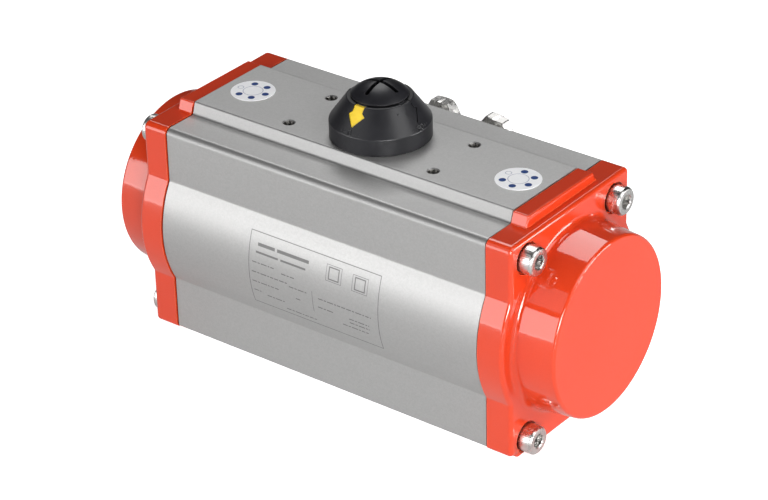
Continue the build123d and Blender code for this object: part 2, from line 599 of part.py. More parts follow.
right = {"piston": pr,
         "piston_oring": torus(42.2, 1.72, (51.0, 0, BORE_Z), (1, 0, 0)),
         "piston_guide_ring": make_guide_ring(),
         "piston_slide_pad": make_back_pad(),
         "spring_seats_inner": make_seats_inner(),
         "spring_seats_outer": make_seats_outer(),
         "springs": make_springs()}
for k, s in right.items():
    parts[k + "_right"] = s
    parts[k + "_left"] = group([rot * q for q in s.solids()]) if len(s.solids()) > 1 else rot * one(s)
parts["stop_screw_right"] = make_stop_screw(1, 8.5)
parts["stop_screw_left"] = make_stop_screw(-1, 0.0)
parts["stop_nuts"] = make_stop_nuts()
parts["stop_washers"] = make_stop_washers()
parts["stop_orings"] = make_stop_orings()
parts["sticker_discs"] = group([cyl(10.25, (x, y, TOP_Z), (x, y, TOP_Z + 0.2)) for x, y in ((-73.4, 0.0), (74.2, 0.0))])

os.makedirs("parts", exist_ok=True)
for name, shape in parts.items():
    shape.label = name
    export_step(shape, f"parts/{name}.step")
print(len(parts), "nodes; piston stroke", round(TRAVEL, 3))
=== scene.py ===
import bpy, bmesh, json, math
from mathutils import Vector, Matrix


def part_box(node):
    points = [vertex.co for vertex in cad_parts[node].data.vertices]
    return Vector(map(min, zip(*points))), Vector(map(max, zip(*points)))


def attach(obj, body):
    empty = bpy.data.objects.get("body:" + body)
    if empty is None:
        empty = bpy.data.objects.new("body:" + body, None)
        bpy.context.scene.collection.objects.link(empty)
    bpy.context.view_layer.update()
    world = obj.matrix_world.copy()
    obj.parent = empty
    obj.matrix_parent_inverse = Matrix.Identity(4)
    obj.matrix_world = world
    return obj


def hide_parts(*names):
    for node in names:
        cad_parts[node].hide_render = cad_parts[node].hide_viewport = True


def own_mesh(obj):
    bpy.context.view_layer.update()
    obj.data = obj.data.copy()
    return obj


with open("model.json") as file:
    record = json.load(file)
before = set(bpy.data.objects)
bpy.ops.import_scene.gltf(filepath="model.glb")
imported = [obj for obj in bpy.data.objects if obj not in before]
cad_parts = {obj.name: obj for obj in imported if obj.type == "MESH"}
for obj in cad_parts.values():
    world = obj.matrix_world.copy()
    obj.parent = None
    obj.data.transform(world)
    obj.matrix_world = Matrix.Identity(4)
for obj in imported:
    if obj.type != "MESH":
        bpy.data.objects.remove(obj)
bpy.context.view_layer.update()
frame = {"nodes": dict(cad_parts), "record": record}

N = frame["nodes"]
MM = 0.001
SC = bpy.context.scene


# ------------------------------------------------------------------ shader helpers
class Mat:
    """Small wrapper that builds one node material."""

    def __init__(self, name):
        self.m = bpy.data.materials.new(name)
        self.m.use_nodes = True
        self.nt = self.m.node_tree
        self.nt.nodes.clear()
        self.out = self.nt.nodes.new("ShaderNodeOutputMaterial")
        self.b = self.nt.nodes.new("ShaderNodeBsdfPrincipled")
        self.nt.links.new(self.b.outputs[0], self.out.inputs[0])
        self.co = self.nt.nodes.new("ShaderNodeTexCoord").outputs["Object"]

    def set(self, **kw):
        names = dict(base="Base Color", metal="Metallic", rough="Roughness", ior="IOR", spec="Specular IOR Level", coat="Coat Weight",
                     coat_rough="Coat Roughness", coat_ior="Coat IOR", aniso="Anisotropic", sheen="Sheen Weight", sss="Subsurface Weight")
        for k, v in kw.items():
            self.b.inputs[names[k]].default_value = v if not isinstance(v, tuple) else (*v, 1.0)
        return self

    def link(self, a, b):
        self.nt.links.new(a, b)

    def node(self, kind, **kw):
        n = self.nt.nodes.new(kind)
        for k, v in kw.items():
            setattr(n, k, v)
        return n

    def val(self, sock, v):
        if isinstance(v, (int, float)):
            sock.default_value = v
        elif isinstance(v, (tuple, list)):
            sock.default_value = v
        else:
            self.link(v, sock)

    def math(self, op, a, b=None, c=None, clamp=False):
        n = self.node("ShaderNodeMath", operation=op, use_clamp=clamp)
        self.val(n.inputs[0], a)
        if b is not None:
            self.val(n.inputs[1], b)
        if c is not None:
            self.val(n.inputs[2], c)
        return n.outputs[0]

    def vmath(self, op, a, b=None):
        n = self.node("ShaderNodeVectorMath", operation=op)
        self.val(n.inputs[0], a)
        if b is not None:
            self.val(n.inputs[1], b)
        return n.outputs["Value"] if op in ("LENGTH", "DOT_PRODUCT", "DISTANCE") else n.outputs[0]

    def xyz(self, vec=None):
        n = self.node("ShaderNodeSeparateXYZ")
        self.link(vec if vec is not None else self.co, n.inputs[0])
        return n.outputs

    def scaled(self, sx, sy, sz, vec=None):
        return self.vmath("MULTIPLY", vec if vec is not None else self.co, (sx, sy, sz))

    def noise(self, scale, detail=3.0, rough=0.55, vec=None, dist=0.0):
        n = self.node("ShaderNodeTexNoise")
        n.inputs["Scale"].default_value = scale
        n.inputs["Detail"].default_value = detail
        n.inputs["Roughness"].default_value = rough
        n.inputs["Distortion"].default_value = dist
        self.link(vec if vec is not None else self.co, n.inputs["Vector"])
        return n.outputs["Fac"]

    def voronoi(self, scale, vec=None, feature="F1", rand=1.0):
        n = self.node("ShaderNodeTexVoronoi", feature=feature)
        n.inputs["Scale"].default_value = scale
        n.inputs["Randomness"].default_value = rand
        self.link(vec if vec is not None else self.co, n.inputs["Vector"])
        return n

    def ramp(self, fac, stops, smooth=False):
        n = self.node("ShaderNodeValToRGB")
        cr = n.color_ramp
        cr.interpolation = "EASE" if smooth else "LINEAR"
        while len(cr.elements) < len(stops):
            cr.elements.new(0.5)
        for e, (p, c) in zip(cr.elements, stops):
            e.position = p
            e.color = (*c, 1.0) if isinstance(c, tuple) else (c, c, c, 1.0)
        self.link(fac, n.inputs[0])
        return n.outputs[0]

    def maprange(self, v, a, b, c, d, smooth=False):
        n = self.node("ShaderNodeMapRange")
        if smooth:
            n.interpolation_type = "SMOOTHSTEP"
        self.val(n.inputs["Value"], v)
        for k, x in (("From Min", a), ("From Max", b), ("To Min", c), ("To Max", d)):
            n.inputs[k].default_value = x
        return n.outputs[0]

    def mix(self, fac, a, b):
        n = self.node("ShaderNodeMix", data_type="RGBA")
        self.val(n.inputs[0], fac)
        for s, v in ((6, a), (7, b)):
            if isinstance(v, tuple):
                n.inputs[s].default_value = (*v, 1.0) if len(v) == 3 else v
            else:
                self.link(v, n.inputs[s])
        return n.outputs[2]

    def bump(self, height, strength, dist, normal=None):
        n = self.node("ShaderNodeBump")
        n.inputs["Strength"].default_value = strength
        n.inputs["Distance"].default_value = dist
        self.link(height, n.inputs["Height"])
        if normal is not None:
            self.link(normal, n.inputs["Normal"])
        return n.outputs[0]

    def base(self, s):
        self.link(s, self.b.inputs["Base Color"])

    def rough(self, s):
        self.link(s, self.b.inputs["Roughness"])

    def normal(self, s, coat=False):
        self.link(s, self.b.inputs["Normal"])
        if coat:
            self.link(s, self.b.inputs["Coat Normal"])


def convex_edge_mask(m, radius=0.0008, lo=0.02, hi=0.25):
    """0 on flats, towards 1 on convex edges, from the bevelled normal."""
    bev = m.node("ShaderNodeBevel", samples=4)
    bev.inputs["Radius"].default_value = radius
    geo = m.node("ShaderNodeNewGeometry")
    d = m.vmath("DOT_PRODUCT", bev.outputs[0], geo.outputs["Normal"])
    return m.maprange(m.math("SUBTRACT", 1.0, d), lo, hi, 0.0, 1.0, True)


def painted_recess_shade(m, dist=0.004, lo=0.25, hi=0.85, floor=0.25):
    """Painted shade in recesses: 1 in the open, down to floor in narrow corners."""
    ao = m.node("ShaderNodeAmbientOcclusion", samples=6)
    ao.inputs["Distance"].default_value = dist
    return m.maprange(ao.outputs["AO"], lo, hi, floor, 1.0, True)


# ------------------------------------------------------------------ materials
def mat_anodised():
    m = Mat("anodised_body").set(metal=0.62, rough=0.42)
    # bead-blasted grain, faint drawing lines along the extrusion and slow colour drift
    grain = m.noise(2600.0, 2.0, 0.6)
    speck = m.voronoi(1500.0).outputs["Color"]
    sp = m.xyz(speck)[0]
    drift = m.noise(9.0, 3.0, 0.5)
    lines = m.noise(1.0, 2.0, 0.6, m.scaled(6.0, 900.0, 900.0))
    v = m.math("ADD", m.math("MULTIPLY", grain, 0.09), m.math("MULTIPLY", sp, 0.045))
    v = m.math("ADD", v, m.math("MULTIPLY", drift, 0.03))
    v = m.math("ADD", v, m.math("MULTIPLY", lines, 0.03))
    v = m.maprange(v, 0.04, 0.17, 0.375, 0.475)
    warm = m.node("ShaderNodeCombineColor")
    m.link(v, warm.inputs[0])
    m.link(m.math("MULTIPLY", v, 0.995), warm.inputs[1])
    m.link(m.math("MULTIPLY", v, 0.985), warm.inputs[2])
    # etched rating plate on the front bulge: frame, divider, ruled fields, no lettering
    x, y, z = m.xyz()
    front = m.math("LESS_THAN", y, -0.040)
    mask = plate_mask(m, x, z)
    etch = m.math("MULTIPLY", mask, front)
    col = m.mix(m.math("MULTIPLY", etch, 0.70), warm.outputs[0], (0.085, 0.085, 0.085))
    # painted shade: the roundings along the top steps are darkened, standing in for the dark reflection they catch
    geo = m.node("ShaderNodeNewGeometry")
    nx, ny, nz = m.xyz(geo.outputs["True Normal"])
    tilt = m.maprange(m.math("ABSOLUTE", m.math("MULTIPLY", ny, nz)), 0.16, 0.36, 0.0, 1.0)
    high = m.math("GREATER_THAN", z, 0.1025)
    edge_mask = m.math("MULTIPLY", tilt, high)
    col = m.mix(m.math("MULTIPLY", edge_mask, 0.62), col, (0.16, 0.16, 0.16))
    m.base(col)
    r = m.math("ADD", m.maprange(grain, 0.3, 0.7, 0.38, 0.46), m.math("MULTIPLY", etch, 0.15))
    m.rough(r)
    h = m.math("ADD", m.math("MULTIPLY", grain, 0.6), m.math("MULTIPLY", sp, 0.4))
    m.normal(m.bump(h, 0.16, 0.00006, m.bump(lines, 0.05, 0.00004)))
    return m


def boxmask(m, x, z, cx, cz, hx, hz, soft=0.00006):
    """1 inside a rectangle of half sizes hx, hz."""
    dx = m.math("SUBTRACT", m.math("ABSOLUTE", m.math("SUBTRACT", x, cx)), hx)
    dz = m.math("SUBTRACT", m.math("ABSOLUTE", m.math("SUBTRACT", z, cz)), hz)
    d = m.math("MAXIMUM", dx, dz)
    return m.maprange(d, -soft, soft, 1.0, 0.0)


def ringmask(m, x, z, cx, cz, hx, hz, w, soft=0.00006):
    """1 on the outline of a rectangle."""
    dx = m.math("SUBTRACT", m.math("ABSOLUTE", m.math("SUBTRACT", x, cx)), hx)
    dz = m.math("SUBTRACT", m.math("ABSOLUTE", m.math("SUBTRACT", z, cz)), hz)
    d = m.math("ABSOLUTE", m.math("MAXIMUM", dx, dz))
    return m.maprange(d, w / 2 - soft, w / 2 + soft, 1.0, 0.0)


PLATE = dict(x0=-37.2, x1=35.4, z0=36.4, z1=72.6)
# (from x, to x, z, height): ruled fields in rows 5.1 apart
PLATE_BARS = []


def _dashes(a, b, z, h, pat, gap=0.75):
    """A field drawn as a run of short etched dashes of uneven length."""
    x, i = a, 0
    while x < b - 0.4:
        L = min(pat[i % len(pat)], b - x)
        PLATE_BARS.append((x, x + L, z, h))
        x += L + gap
        i += 1


_dashes(-32.6, -3.7, 67.3, 1.5, (9.6, 18.2), gap=1.3)
_dashes(-33.4, -3.7, 63.6, 0.95, (12.6, 14.2), gap=1.4)
for a, b, z in ((-35.3, -22.1, 58.6), (-18.7, -11.3, 57.4), (-35.6, -15.5, 53.6), (-14.4, -3.6, 52.4), (-35.8, -20.7, 48.6), (-11.1, -8.2, 47.2),
                (-35.7, -31.6, 43.6), (-28.3, -17.9, 42.6), (-18.1, -1.1, 38.9), (2.1, 31.4, 51.8), (1.5, 10.4, 47.2),
                (18.9, 29.9, 47.0), (18.9, 29.9, 45.0), (14.6, 28.9, 42.6)):
    _dashes(a, b, z, 0.52, (2.6, 1.3, 3.4, 1.0, 1.9, 2.2), gap=0.55)
PLATE_VBARS = [(-1.3, 43.6, 54.4, 0.26)]
PLATE_SQUARES = [(10.4, 66.0, 2.7), (24.9, 65.6, 2.7)]


def plate_mask(m, x, z):
    P = PLATE
    cx, cz = (P["x0"] + P["x1"]) / 2, (P["z0"] + P["z1"]) / 2
    acc = ringmask(m, x, z, cx * MM, cz * MM, (P["x1"] - P["x0"]) / 2 * MM, (P["z1"] - P["z0"]) / 2 * MM, 0.36 * MM)

    def add(s):
        nonlocal acc
        acc = m.math("MAXIMUM", acc, s)

    # rows that share a height and a thickness share one band mask, cut into dashes along x
    rows = {}
    for (a, b, zc, h) in PLATE_BARS:
        rows.setdefault((zc, h), []).append((a, b))
    for (zc, h), spans in rows.items():
        dz = m.math("SUBTRACT", m.math("ABSOLUTE", m.math("SUBTRACT", z, zc * MM)), h / 2 * MM)
        band = m.maprange(dz, -0.00006, 0.00006, 1.0, 0.0)
        dx = None
        for a, b in spans:
            d = m.math("SUBTRACT", m.math("ABSOLUTE", m.math("SUBTRACT", x, (a + b) / 2 * MM)), (b - a) / 2 * MM)
            dx = d if dx is None else m.math("MINIMUM", dx, d)
        add(m.math("MULTIPLY", band, m.maprange(dx, -0.00006, 0.00006, 1.0, 0.0)))
    for (xc, z0, z1, w) in PLATE_VBARS:
        add(boxmask(m, x, z, xc * MM, (z0 + z1) / 2 * MM, w / 2 * MM, (z1 - z0) / 2 * MM))
    for (sx, sz, s) in PLATE_SQUARES:
        add(ringmask(m, x, z, sx * MM, sz * MM, s * MM, s * MM, 0.55 * MM))
        add(ringmask(m, x, z, sx * MM, sz * MM, s * 1.55 * MM, s * 1.35 * MM, 0.24 * MM))
    return acc


def mat_red():
    m = Mat("red_paint").set(metal=0.0, ior=1.5, coat=1.0, coat_rough=0.045, coat_ior=1.64, spec=0.06)
    drift = m.noise(14.0, 2.0, 0.5)
    flake = m.noise(1800.0, 2.0, 0.6)
    v = m.math("ADD", m.math("MULTIPLY", drift, 0.6), m.math("MULTIPLY", flake, 0.4))
    col = m.ramp(v, [(0.30, (0.61, 0.041, 0.0095)), (0.70, (0.68, 0.051, 0.0130))])
    # painted highlight: the base colour turns light orange along convex edges, standing in for bright edge lines
    painted_edge_highlight = convex_edge_mask(m, 0.0007, 0.015, 0.20)
    col = m.mix(m.math("MULTIPLY", painted_edge_highlight, 0.55), col, (0.92, 0.20, 0.075))
    m.base(col)
    m.rough(m.maprange(flake, 0.3, 0.7, 0.30, 0.40))
    peel = m.noise(330.0, 2.0, 0.5)
    fine = m.noise(1400.0, 1.0, 0.5)
    n = m.bump(fine, 0.03, 0.00003, m.bump(peel, 0.16, 0.00012))
    m.normal(n, coat=True)
    return m


def mat_black(name="indicator_black", base=(0.0095, 0.0095, 0.0115), rough=0.32):
    m = Mat(name).set(metal=0.0, ior=1.49)
    fine = m.noise(1500.0, 3.0, 0.6)
    slow = m.noise(60.0, 3.0, 0.5)
    col = m.ramp(slow, [(0.3, base), (0.75, tuple(c * 1.5 for c in base))])
    # painted shade: recesses, slots and grooves are darkened towards near-black
    shade = painted_recess_shade(m, 0.003, 0.35, 0.85, 0.06)
    edge_mask = convex_edge_mask(m, 0.0004, 0.03, 0.30)
    col = m.mix(m.math("MULTIPLY", edge_mask, 0.35), col, (0.10, 0.10, 0.105))
    m.base(m.mix(shade, (0.0006, 0.0006, 0.0007), col))
    m.rough(m.math("ADD", m.maprange(slow, 0.3, 0.7, rough - 0.04, rough + 0.05), m.math("MULTIPLY", fine, 0.05)))
    m.normal(m.bump(fine, 0.12, 0.00006))
    return m


def mat_yellow():
    m = Mat("indicator_yellow").set(ior=1.5, spec=0.5, coat=0.2, coat_rough=0.25)
    slow = m.noise(300.0, 3.0, 0.5)
    m.base(m.ramp(slow, [(0.3, (0.78, 0.52, 0.018)), (0.7, (0.86, 0.62, 0.030))]))
    m.rough(m.maprange(slow, 0.3, 0.7, 0.33, 0.42))
    m.normal(m.bump(m.noise(1300.0, 2.0, 0.5), 0.10, 0.00005))
    return m


def mat_steel(name="stainless", base=0.60, rough=0.20, tint=(1.0, 0.985, 0.96), scale=700.0):
    m = Mat(name).set(metal=1.0)
    turn = m.noise(1.0, 2.0, 0.6, m.scaled(scale, scale, scale * 0.3))
    slow = m.noise(150.0, 3.0, 0.5)
    v = m.math("ADD", m.math("MULTIPLY", turn, 0.5), m.math("MULTIPLY", slow, 0.5))
    col = m.ramp(v, [(0.3, tuple(base * 0.82 * t for t in tint)), (0.7, tuple(min(1.0, base * 1.15 * t) for t in tint))])
    # painted shade: sockets and recesses are darkened towards near-black
    m.base(m.mix(painted_recess_shade(m, 0.005, 0.20, 0.62, 0.22), (0.03, 0.029, 0.028), col))
    m.rough(m.maprange(v, 0.3, 0.7, rough - 0.05, rough + 0.09))
    m.normal(m.bump(turn, 0.018, 0.00002))
    return m


def mat_rubber(name="rubber", base=0.018):
    m = Mat(name).set(metal=0.0, spec=0.35)
    f = m.noise(900.0, 4.0, 0.6)
    m.base(m.ramp(f, [(0.3, (base * 0.7,) * 3), (0.7, (base * 1.4,) * 3)]))
    m.rough(m.maprange(f, 0.3, 0.7, 0.55, 0.72))
    m.normal(m.bump(f, 0.2, 0.00008))
    return m


def mat_acetal():
    m = Mat("bearing_plastic").set(metal=0.0, sss=0.05)
    f = m.noise(400.0, 3.0, 0.5)
    m.base(m.ramp(f, [(0.3, (0.70, 0.67, 0.58)), (0.7, (0.78, 0.75, 0.67))]))
    m.rough(m.maprange(f, 0.3, 0.7, 0.30, 0.42))
    m.normal(m.bump(f, 0.06, 0.00006))
    return m


def mat_alloy():
    m = Mat("piston_alloy").set(metal=1.0)
    f = m.noise(700.0, 4.0, 0.6)
    g = m.noise(1.0, 2.0, 0.6, m.scaled(1500.0, 60.0, 60.0))
    v = m.math("ADD", m.math("MULTIPLY", f, 0.6), m.math("MULTIPLY", g, 0.4))
    m.base(m.ramp(v, [(0.3, (0.48, 0.48, 0.49)), (0.7, (0.60, 0.60, 0.61))]))
    m.rough(m.maprange(v, 0.3, 0.7, 0.34, 0.50))
    m.normal(m.bump(v, 0.18, 0.00008))
    return m


def mat_spring():
    m = Mat("spring_steel").set(metal=0.0, coat=0.5, coat_rough=0.2)
    f = m.noise(500.0, 3.0, 0.6)
    m.base(m.ramp(f, [(0.3, (0.012, 0.03, 0.08)), (0.7, (0.02, 0.05, 0.12))]))
    m.rough(m.maprange(f, 0.3, 0.7, 0.30, 0.45))
    m.normal(m.bump(f, 0.12, 0.00008))
    return m


# painted shade: the thread liners get a dark grey metal so the tapped holes read dark inside
def mat_thread_painted_shade():
    m = Mat("thread_painted_shade").set(metal=1.0)
    f = m.noise(900.0, 3.0, 0.6)
    m.base(m.ramp(f, [(0.3, (0.17, 0.165, 0.155)), (0.7, (0.27, 0.26, 0.245))]))
    m.rough(m.maprange(f, 0.3, 0.7, 0.24, 0.36))
    m.normal(m.bump(f, 0.04, 0.00003))
    return m


STICKERS = [(-73.4, 0.0), (74.2, 0.0)]


def mat_sticker():
    """White vinyl print: six dots on a ring, one of them hollow, and a thin inner circle."""
    m = Mat("sticker_white").set(metal=0.0, spec=0.25)
    x, y, z = m.xyz()
    right = m.math("GREATER_THAN", x, 0.0)
    cx = m.math("ADD", m.math("MULTIPLY", right, (STICKERS[1][0] - STICKERS[0][0]) * MM), STICKERS[0][0] * MM)
    px = m.math("MULTIPLY", m.math("SUBTRACT", x, cx), 1000.0)
    py = m.math("MULTIPLY", y, 1000.0)
    r = m.math("SQRT", m.math("ADD", m.math("MULTIPLY", px, px), m.math("MULTIPLY", py, py)))
    f = m.noise(200.0, 2.0, 0.5)
    base = m.ramp(f, [(0.3, (0.93, 0.935, 0.96)), (0.7, (0.96, 0.965, 0.98))])
    ring = m.maprange(m.math("ABSOLUTE", m.math("SUBTRACT", r, 4.55)), 0.10, 0.20, 0.75, 0.0)
    col = m.mix(ring, base, (0.25, 0.27, 0.42))
    blue = None
    # the two discs were stuck on turned 20 degrees apart
    ph = m.math("ADD", m.math("MULTIPLY", right, math.radians(-20.0)), math.radians(DOT_PHASE))
    for k in range(6):
        a = m.math("ADD", ph, math.radians(60 * k))
        dx = m.math("SUBTRACT", px, m.math("MULTIPLY", m.math("COSINE", a), 6.9))
        dy = m.math("SUBTRACT", py, m.math("MULTIPLY", m.math("SINE", a), 6.9))
        d = m.math("SQRT", m.math("ADD", m.math("MULTIPLY", dx, dx), m.math("MULTIPLY", dy, dy)))
        if k == DOT_HOLLOW:
            s = m.maprange(m.math("ABSOLUTE", m.math("SUBTRACT", d, 1.35)), 0.08, 0.20, 0.6, 0.0)
        else:
            s = m.maprange(d, 1.54, 1.66, 1.0, 0.0)
        blue = s if blue is None else m.math("MAXIMUM", blue, s)
    col = m.mix(blue, col, (0.002, 0.040, 0.20))
    m.base(col)
    m.rough(m.maprange(f, 0.3, 0.7, 0.30, 0.38))
    m.normal(m.bump(f, 0.05, 0.00005))
    return m


DOT_PHASE = 3.0
DOT_HOLLOW = 3

MAT = {
    "anodised_body": mat_anodised(),
    "red_paint": mat_red(),
    "gasket_rubber": mat_rubber("gasket_rubber", 0.012),
    "stainless": mat_steel("stainless", 0.70, 0.26),
    "shaft_steel": mat_steel("shaft_steel", 0.50, 0.24, (0.98, 0.99, 1.0)),
    "bearing_plastic": mat_acetal(),
    "oring_rubber": mat_rubber("oring_rubber", 0.014),
    "indicator_black": mat_black(),
    "indicator_yellow": mat_yellow(),
    "piston_alloy": mat_alloy(),
    "spring_steel": mat_spring(),
    "seat_plastic": mat_black("seat_plastic", (0.030, 0.030, 0.032), 0.45),
    "sticker_white": mat_sticker(),
}

THREAD_SHADE = mat_thread_painted_shade()

SLOT = {s["node"]: s["material_slot"] for s in frame["record"]["subparts"]}
for name, ob in N.items():
    ob.data.materials.clear()
    ob.data.materials.append(MAT[SLOT[name]].m)


# ------------------------------------------------------------------ mesh helpers
def obj_from_bm(bm, name, slot, body, angle=32.0):
    bmesh.ops.recalc_face_normals(bm, faces=bm.faces)
    lim = math.radians(angle)
    for f in bm.faces:
        f.smooth = True
    for e in bm.edges:
        if len(e.link_faces) == 2 and e.calc_face_angle(0.0) > lim:
            e.smooth = False
    me = bpy.data.meshes.new(name)
    bm.to_mesh(me)
    bm.free()
    ob = bpy.data.objects.new(name, me)
    SC.collection.objects.link(ob)
    me.materials.append(MAT[slot].m)
    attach(ob, body)
    return ob


def basis(axis):
    """Rotation that takes local +Z to axis."""
    return Vector((0, 0, 1)).rotation_difference(Vector(axis)).to_matrix()


def grid_surface(bm, rings, close_u=True, cap0=False, cap1=False):
    """Quads between rings of points; each ring is a list of vectors."""
    vs = [[bm.verts.new(p) for p in r] for r in rings]
    n = len(rings[0])
    for i in range(len(rings) - 1):
        for j in range(n if close_u else n - 1):
            k = (j + 1) % n
            bm.faces.new((vs[i][j], vs[i][k], vs[i + 1][k], vs[i + 1][j]))
    if cap0:
        bm.faces.new(vs[0])
    if cap1:
        bm.faces.new(list(reversed(vs[-1])))
    return vs


def place(rings, origin, axis, turn=0.0):
    R = basis(axis) @ Matrix.Rotation(turn, 3, "Z")
    o = Vector(origin)
    return [[o + R @ Vector(p) for p in r] for r in rings]


def cap_screw_bm(bm, base, axis, r=6.5, h=8.0, af=6.0, sock=4.2, turn=0.0, shank_r=3.97, shank_l=30.0, knurls=48):
    """Socket-head screw, drawn from the socket's floor outwards, down the knurled side and along the shank."""
    n = knurls * 4
    ang = [2 * math.pi * i / n for i in range(n)]

    def hexr(a, flat):
        k = (a + math.pi / 6) % (math.pi / 3) - math.pi / 6
        return flat / math.cos(k)

    def circ(rad, z):
        return [Vector((rad * math.cos(a), rad * math.sin(a), z)) for a in ang]

    def hexa(flat, z):
        return [Vector((hexr(a, flat) * math.cos(a), hexr(a, flat) * math.sin(a), z)) for a in ang]

    def knurl(rad, z, depth, shift):
        out = []
        for a in ang:
            w = math.cos(knurls * a + shift)
            rr = rad - depth * (0.5 - 0.5 * w)
            out.append(Vector((rr * math.cos(a), rr * math.sin(a), z)))
        return out

    rings = [circ(0.02, h - sock - 1.1), circ(1.4, h - sock - 0.6), hexa(af / 2 - 0.15, h - sock), hexa(af / 2, h - sock + 0.1), hexa(af / 2, h - 0.45),
             circ(af / math.sqrt(3) + 0.12, h), circ(af / math.sqrt(3) + 0.35, h), circ(r - 1.05, h), circ(r - 0.75, h - 0.10), circ(r - 0.12, h - 0.80), circ(r - 0.05, h - 1.0)]
    z0, z1 = h - 1.25, 0.9
    steps = 9
    for i in range(steps + 1):
        z = z0 + (z1 - z0) * i / steps
        d = 0.05 * min(1.0, min(i, steps - i) / 1.0)
        rings.append(knurl(r, z, d, 0.0))
    rings += [circ(r - 0.02, 0.6), circ(r - 0.12, 0.25), circ(r - 0.4, 0.0), circ(shank_r + 0.5, 0.0), circ(shank_r, -0.3)]
    # thread near the tip
    pitch, dep = 1.25, 0.55
    zt = -6.0
    rings.append(circ(shank_r, zt))
    z = zt
    while z > -shank_l + 1.2:
        rings += [circ(shank_r - dep, z - pitch * 0.45), circ(shank_r - dep, z - pitch * 0.55), circ(shank_r, z - pitch * 0.95), circ(shank_r, z - pitch * 1.0)]
        z -= pitch
    rings += [circ(shank_r - 0.8, -shank_l + 0.2), circ(0.02, -shank_l)]
    rings = [[p * MM for p in q] for q in rings]
    grid_surface(bm, place(rings, base, axis, turn), cap0=True, cap1=True)


def helix_thread_rings(r_major, depth, pitch, z0, z1, n=48, internal=False, fade=1.5):
    """Rings of a threaded cylinder or hole, the groove following a true helix."""
    rings = []
    per = 10
    steps = max(2, int(abs(z1 - z0) / pitch * per))
    for i in range(steps + 1):
        z = z0 + (z1 - z0) * i / steps
        ring = []
        for j in range(n):
            a = 2 * math.pi * j / n
            ph = ((z / pitch) - a / (2 * math.pi)) % 1.0
            t = min(1.0, max(0.0, abs(ph - 0.5) * 2.6 - 0.28))
            f = min(1.0, abs(z - z0) / (pitch * fade), abs(z1 - z) / (pitch * fade))
            d = depth * (1 - t) * f
            rr = r_major - d
            ring.append(Vector((rr * math.cos(a), rr * math.sin(a), z)))
        rings.append(ring)
    return rings


# ------------------------------------------------------------------ cap screws
for side, sg in (("right", 1.0), ("left", -1.0)):
    lo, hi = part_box("cap_screws_" + side)
    bm = bmesh.new()
    head_x = hi.x if sg > 0 else lo.x
    k = 0
    for y in (lo.y + 0.0065, hi.y - 0.0065):
        for z in (lo.z + 0.0065, hi.z - 0.0065):
            cap_screw_bm(bm, (head_x - sg * 0.008, y, z), (sg, 0, 0), turn=math.radians(17 + 23 * k))
            k += 1
    ob = obj_from_bm(bm, "cap_screws_%s_detail" % side, "stainless", "housing", 24.0)
    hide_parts("cap_screws_" + side)

# ------------------------------------------------------------------ travel-stop screws with a real thread
for side, turn in (("right", 8.5), ("left", 0.0)):
    lo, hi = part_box("stop_screw_" + side)
    cx, cz = (lo.x + hi.x) / 2, (lo.z + hi.z) / 2
    y0, yh, y1 = lo.y, hi.y - 0.0064, hi.y
    L = (yh - y0) / MM
    n = 48
    ang = [2 * math.pi * i / n for i in range(n)]
    circ = lambda rad, z: [Vector((rad * math.cos(a), rad * math.sin(a), z)) for a in ang]

    def hexr(a, flat, tt):
        k = (a - tt + math.pi / 6) % (math.pi / 3) - math.pi / 6
        return flat / math.cos(k)

    n = 96
    ang = [2 * math.pi * i / n for i in range(n)]
    rings = [circ(0.02, 0.0), circ(3.1, 0.0), circ(3.6, 0.5), circ(3.6, 7.0), circ(4.2, 7.7)]
    rings += helix_thread_rings(4.93, 0.72, 1.5, 8.3, L - 1.2, n=n)
    rings += [circ(4.93, L - 0.6), circ(4.95, L - 0.05), circ(5.1, L), circ(7.2, L + 0.0), circ(7.55, L + 0.12)]
    # the hexagon's own flats point at turn + 30 degrees
    tt = math.radians(turn + 30)

    def hexring(flat, z, rmax=99.0):
        return [Vector((min(hexr(a, flat, tt), rmax) * math.cos(a), min(hexr(a, flat, tt), rmax) * math.sin(a), z)) for a in ang]

    rings += [hexring(8.0, L + 0.12, 7.95), hexring(8.0, L + 0.35), hexring(8.0, L + 5.5)]
    for i in range(6):
        t = i / 5
        rings.append(hexring(8.0, L + 5.5 + 0.75 * t, 9.2 - 1.25 * t))
    rings += [circ(7.6, L + 6.33), circ(7.2, L + 6.4), circ(3.2, L + 6.4), circ(2.9, L + 6.2), circ(0.02, L + 6.15)]
    rings = [[p * MM for p in q] for q in rings]
    # local +Z runs along +Y; local X stays X so the hexagon is turned as in the model
    R = Matrix(((1, 0, 0), (0, 0, 1), (0, -1, 0)))
    o = Vector((cx, y0, cz))
    pts = [[o + R @ p for p in q] for q in rings]
    bm = bmesh.new()
    grid_surface(bm, pts, cap0=True, cap1=True)
    ob = obj_from_bm(bm, "stop_screw_%s_detail" % side, "stainless", side + "_stop", 18.0)
    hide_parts("stop_screw_" + side)

